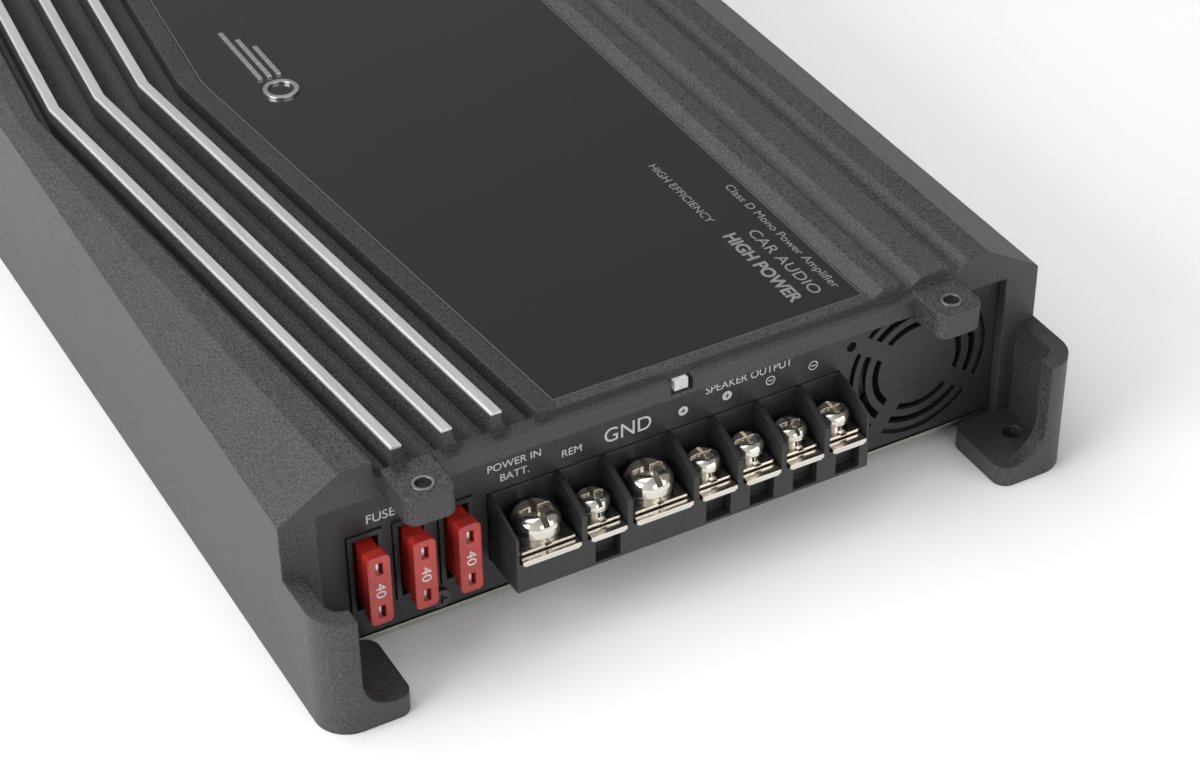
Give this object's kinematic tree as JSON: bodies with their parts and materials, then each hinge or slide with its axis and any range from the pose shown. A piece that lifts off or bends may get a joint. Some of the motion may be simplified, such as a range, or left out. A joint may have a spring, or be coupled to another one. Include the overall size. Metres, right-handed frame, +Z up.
{
  "type": "car audio power amplifier",
  "caption": "Flat car audio power amplifier with a finned heatsink case, glossy top, screw terminals, plug-in blade fuses, a cooling fan and corner feet with mounting holes.",
  "frame": {"origin": "centre of the footprint, on the surface the four feet stand on", "axes": "+Z up; -Y is the screw-terminal end; +Y is the control end; +X is from the fuses towards the fan"},
  "size_m": [0.22, 0.416, 0.0644],
  "materials": {
    "charcoal_powder_coat": "fine textured charcoal powder coat",
    "bright_strip": "brushed bright aluminium",
    "gloss_black": "glossy black panel",
    "badge_metal": "satin metal",
    "steel_insert": "turned steel",
    "clear_plastic": "milky clear plastic",
    "black_sheet": "semi-gloss black coated sheet",
    "zinc_sheet": "zinc plated sheet",
    "black_moulding": "moulded black plastic",
    "nickel": "nickel plated steel",
    "fuse_red": "translucent red plastic",
    "tin_blade": "tin plated",
    "board_green": "solder-masked board",
    "ferrite": "coated ferrite",
    "copper": "enamelled copper wire",
    "can_sleeve": "printed plastic sleeve",
    "epoxy": "moulded epoxy",
    "raw_aluminium": "extruded aluminium",
    "gold_jack": "gold plated",
    "pot_metal": "stamped steel"
  },
  "bodies": {
    "chassis": {"heatsink_chassis": "charcoal_powder_coat", "rib_trim_1": "bright_strip", "rib_trim_2": "bright_strip", "rib_trim_3": "bright_strip", "top_panel": "gloss_black", "badge": "badge_metal", "lug_inserts": "steel_insert", "rear_panel_screws": "steel_insert", "bottom_cover_screws": "steel_insert", "board_screws": "steel_insert", "board_standoffs": "steel_insert", "light_pipe": "clear_plastic", "front_panel": "black_sheet", "rear_panel": "black_sheet", "front_panel_screw": "black_sheet", "bottom_cover": "zinc_sheet", "terminal_block": "black_moulding", "fuse_holder": "black_moulding", "fan_frame": "black_moulding", "jack_housing": "black_moulding", "switch_bodies": "black_moulding", "remote_socket": "black_moulding", "terminal_plates": "nickel", "circuit_board": "board_green", "transformer_core": "ferrite", "transformer_winding": "copper", "output_chokes": "copper", "storage_capacitors": "can_sleeve", "filter_capacitors": "can_sleeve", "power_transistors": "epoxy", "transistor_clamp_bars": "raw_aluminium", "rca_jacks": "gold_jack", "potentiometers": "pot_metal"},
    "clamp_body_battery": {"clamp_battery": "nickel"},
    "screw_body_battery": {"screw_battery": "nickel"},
    "clamp_body_remote": {"clamp_remote": "nickel"},
    "screw_body_remote": {"screw_remote": "nickel"},
    "clamp_body_ground": {"clamp_ground": "nickel"},
    "screw_body_ground": {"screw_ground": "nickel"},
    "clamp_body_speaker_1": {"clamp_speaker_1": "nickel"},
    "screw_body_speaker_1": {"screw_speaker_1": "nickel"},
    "clamp_body_speaker_2": {"clamp_speaker_2": "nickel"},
    "screw_body_speaker_2": {"screw_speaker_2": "nickel"},
    "clamp_body_speaker_3": {"clamp_speaker_3": "nickel"},
    "screw_body_speaker_3": {"screw_speaker_3": "nickel"},
    "clamp_body_speaker_4": {"clamp_speaker_4": "nickel"},
    "screw_body_speaker_4": {"screw_speaker_4": "nickel"},
    "fuse_1": {"fuse_body_1": "fuse_red", "fuse_blades_1": "tin_blade"},
    "fuse_2": {"fuse_body_2": "fuse_red", "fuse_blades_2": "tin_blade"},
    "fuse_3": {"fuse_body_3": "fuse_red", "fuse_blades_3": "tin_blade"},
    "rotor": {"fan_rotor": "black_moulding"},
    "knob_body_gain": {"knob_gain": "black_moulding"},
    "knob_body_low_pass": {"knob_low_pass": "black_moulding"},
    "knob_body_bass_boost": {"knob_bass_boost": "black_moulding"},
    "phase_slide_body": {"phase_slider": "black_moulding"},
    "filter_slide_body": {"filter_slider": "black_moulding"}
  },
  "joints": [
    {"name": "clamp_lift_battery", "type": "slide", "parent": "chassis", "child": "clamp_body_battery", "axis": [0, 0, 1], "range_m": [0, 0.0024]},
    {"name": "screw_turn_battery", "type": "hinge", "parent": "clamp_body_battery", "child": "screw_body_battery", "pos_m": [-0.0436, -0.1902, 0.03], "axis": [0, 0, 1], "range_deg": [0, 1080.5]},
    {"name": "clamp_lift_remote", "type": "slide", "parent": "chassis", "child": "clamp_body_remote", "axis": [0, 0, 1], "range_m": [0, 0.0018]},
    {"name": "screw_turn_remote", "type": "hinge", "parent": "clamp_body_remote", "child": "screw_body_remote", "pos_m": [-0.0275, -0.1902, 0.03], "axis": [0, 0, 1], "range_deg": [0, 1080.5]},
    {"name": "clamp_lift_ground", "type": "slide", "parent": "chassis", "child": "clamp_body_ground", "axis": [0, 0, 1], "range_m": [0, 0.0024]},
    {"name": "screw_turn_ground", "type": "hinge", "parent": "clamp_body_ground", "child": "screw_body_ground", "pos_m": [-0.0114, -0.1902, 0.03], "axis": [0, 0, 1], "range_deg": [0, 1080.5]},
    {"name": "clamp_lift_speaker_1", "type": "slide", "parent": "chassis", "child": "clamp_body_speaker_1", "axis": [0, 0, 1], "range_m": [0, 0.0018]},
    {"name": "screw_turn_speaker_1", "type": "hinge", "parent": "clamp_body_speaker_1", "child": "screw_body_speaker_1", "pos_m": [0.0047, -0.1902, 0.03], "axis": [0, 0, 1], "range_deg": [0, 1080.5]},
    {"name": "clamp_lift_speaker_2", "type": "slide", "parent": "chassis", "child": "clamp_body_speaker_2", "axis": [0, 0, 1], "range_m": [0, 0.0018]},
    {"name": "screw_turn_speaker_2", "type": "hinge", "parent": "clamp_body_speaker_2", "child": "screw_body_speaker_2", "pos_m": [0.0177, -0.1902, 0.03], "axis": [0, 0, 1], "range_deg": [0, 1080.5]},
    {"name": "clamp_lift_speaker_3", "type": "slide", "parent": "chassis", "child": "clamp_body_speaker_3", "axis": [0, 0, 1], "range_m": [0, 0.0018]},
    {"name": "screw_turn_speaker_3", "type": "hinge", "parent": "clamp_body_speaker_3", "child": "screw_body_speaker_3", "pos_m": [0.0307, -0.1902, 0.03], "axis": [0, 0, 1], "range_deg": [0, 1080.5]},
    {"name": "clamp_lift_speaker_4", "type": "slide", "parent": "chassis", "child": "clamp_body_speaker_4", "axis": [0, 0, 1], "range_m": [0, 0.0018]},
    {"name": "screw_turn_speaker_4", "type": "hinge", "parent": "clamp_body_speaker_4", "child": "screw_body_speaker_4", "pos_m": [0.0437, -0.1902, 0.03], "axis": [0, 0, 1], "range_deg": [0, 1080.5]},
    {"name": "fuse_pull_1", "type": "slide", "parent": "chassis", "child": "fuse_1", "axis": [0, -1, 0], "range_m": [0, 0.02]},
    {"name": "fuse_pull_2", "type": "slide", "parent": "chassis", "child": "fuse_2", "axis": [0, -1, 0], "range_m": [0, 0.02]},
    {"name": "fuse_pull_3", "type": "slide", "parent": "chassis", "child": "fuse_3", "axis": [0, -1, 0], "range_m": [0, 0.02]},
    {"name": "fan_spin", "type": "hinge", "parent": "chassis", "child": "rotor", "pos_m": [0.075, -0.176, 0.0302], "axis": [0, 1, 0], "continuous": true},
    {"name": "gain_turn", "type": "hinge", "parent": "chassis", "child": "knob_body_gain", "pos_m": [-0.025, 0.185, 0.027], "axis": [0, 1, 0], "range_deg": [-140, 140]},
    {"name": "low_pass_turn", "type": "hinge", "parent": "chassis", "child": "knob_body_low_pass", "pos_m": [0, 0.185, 0.027], "axis": [0, 1, 0], "range_deg": [-140, 140]},
    {"name": "bass_boost_turn", "type": "hinge", "parent": "chassis", "child": "knob_body_bass_boost", "pos_m": [0.025, 0.185, 0.027], "axis": [0, 1, 0], "range_deg": [-140, 140]},
    {"name": "phase_slide", "type": "slide", "parent": "chassis", "child": "phase_slide_body", "axis": [1, 0, 0], "range_m": [0, 0.0036]},
    {"name": "filter_slide", "type": "slide", "parent": "chassis", "child": "filter_slide_body", "axis": [1, 0, 0], "range_m": [0, 0.0036]}
  ],
  "couplings": [
    {"joint": "screw_turn_battery", "follows": "clamp_lift_battery", "rad_per_m": 7854},
    {"joint": "screw_turn_remote", "follows": "clamp_lift_remote", "rad_per_m": 10472},
    {"joint": "screw_turn_ground", "follows": "clamp_lift_ground", "rad_per_m": 7854},
    {"joint": "screw_turn_speaker_1", "follows": "clamp_lift_speaker_1", "rad_per_m": 10472},
    {"joint": "screw_turn_speaker_2", "follows": "clamp_lift_speaker_2", "rad_per_m": 10472},
    {"joint": "screw_turn_speaker_3", "follows": "clamp_lift_speaker_3", "rad_per_m": 10472},
    {"joint": "screw_turn_speaker_4", "follows": "clamp_lift_speaker_4", "rad_per_m": 10472}
  ]
}
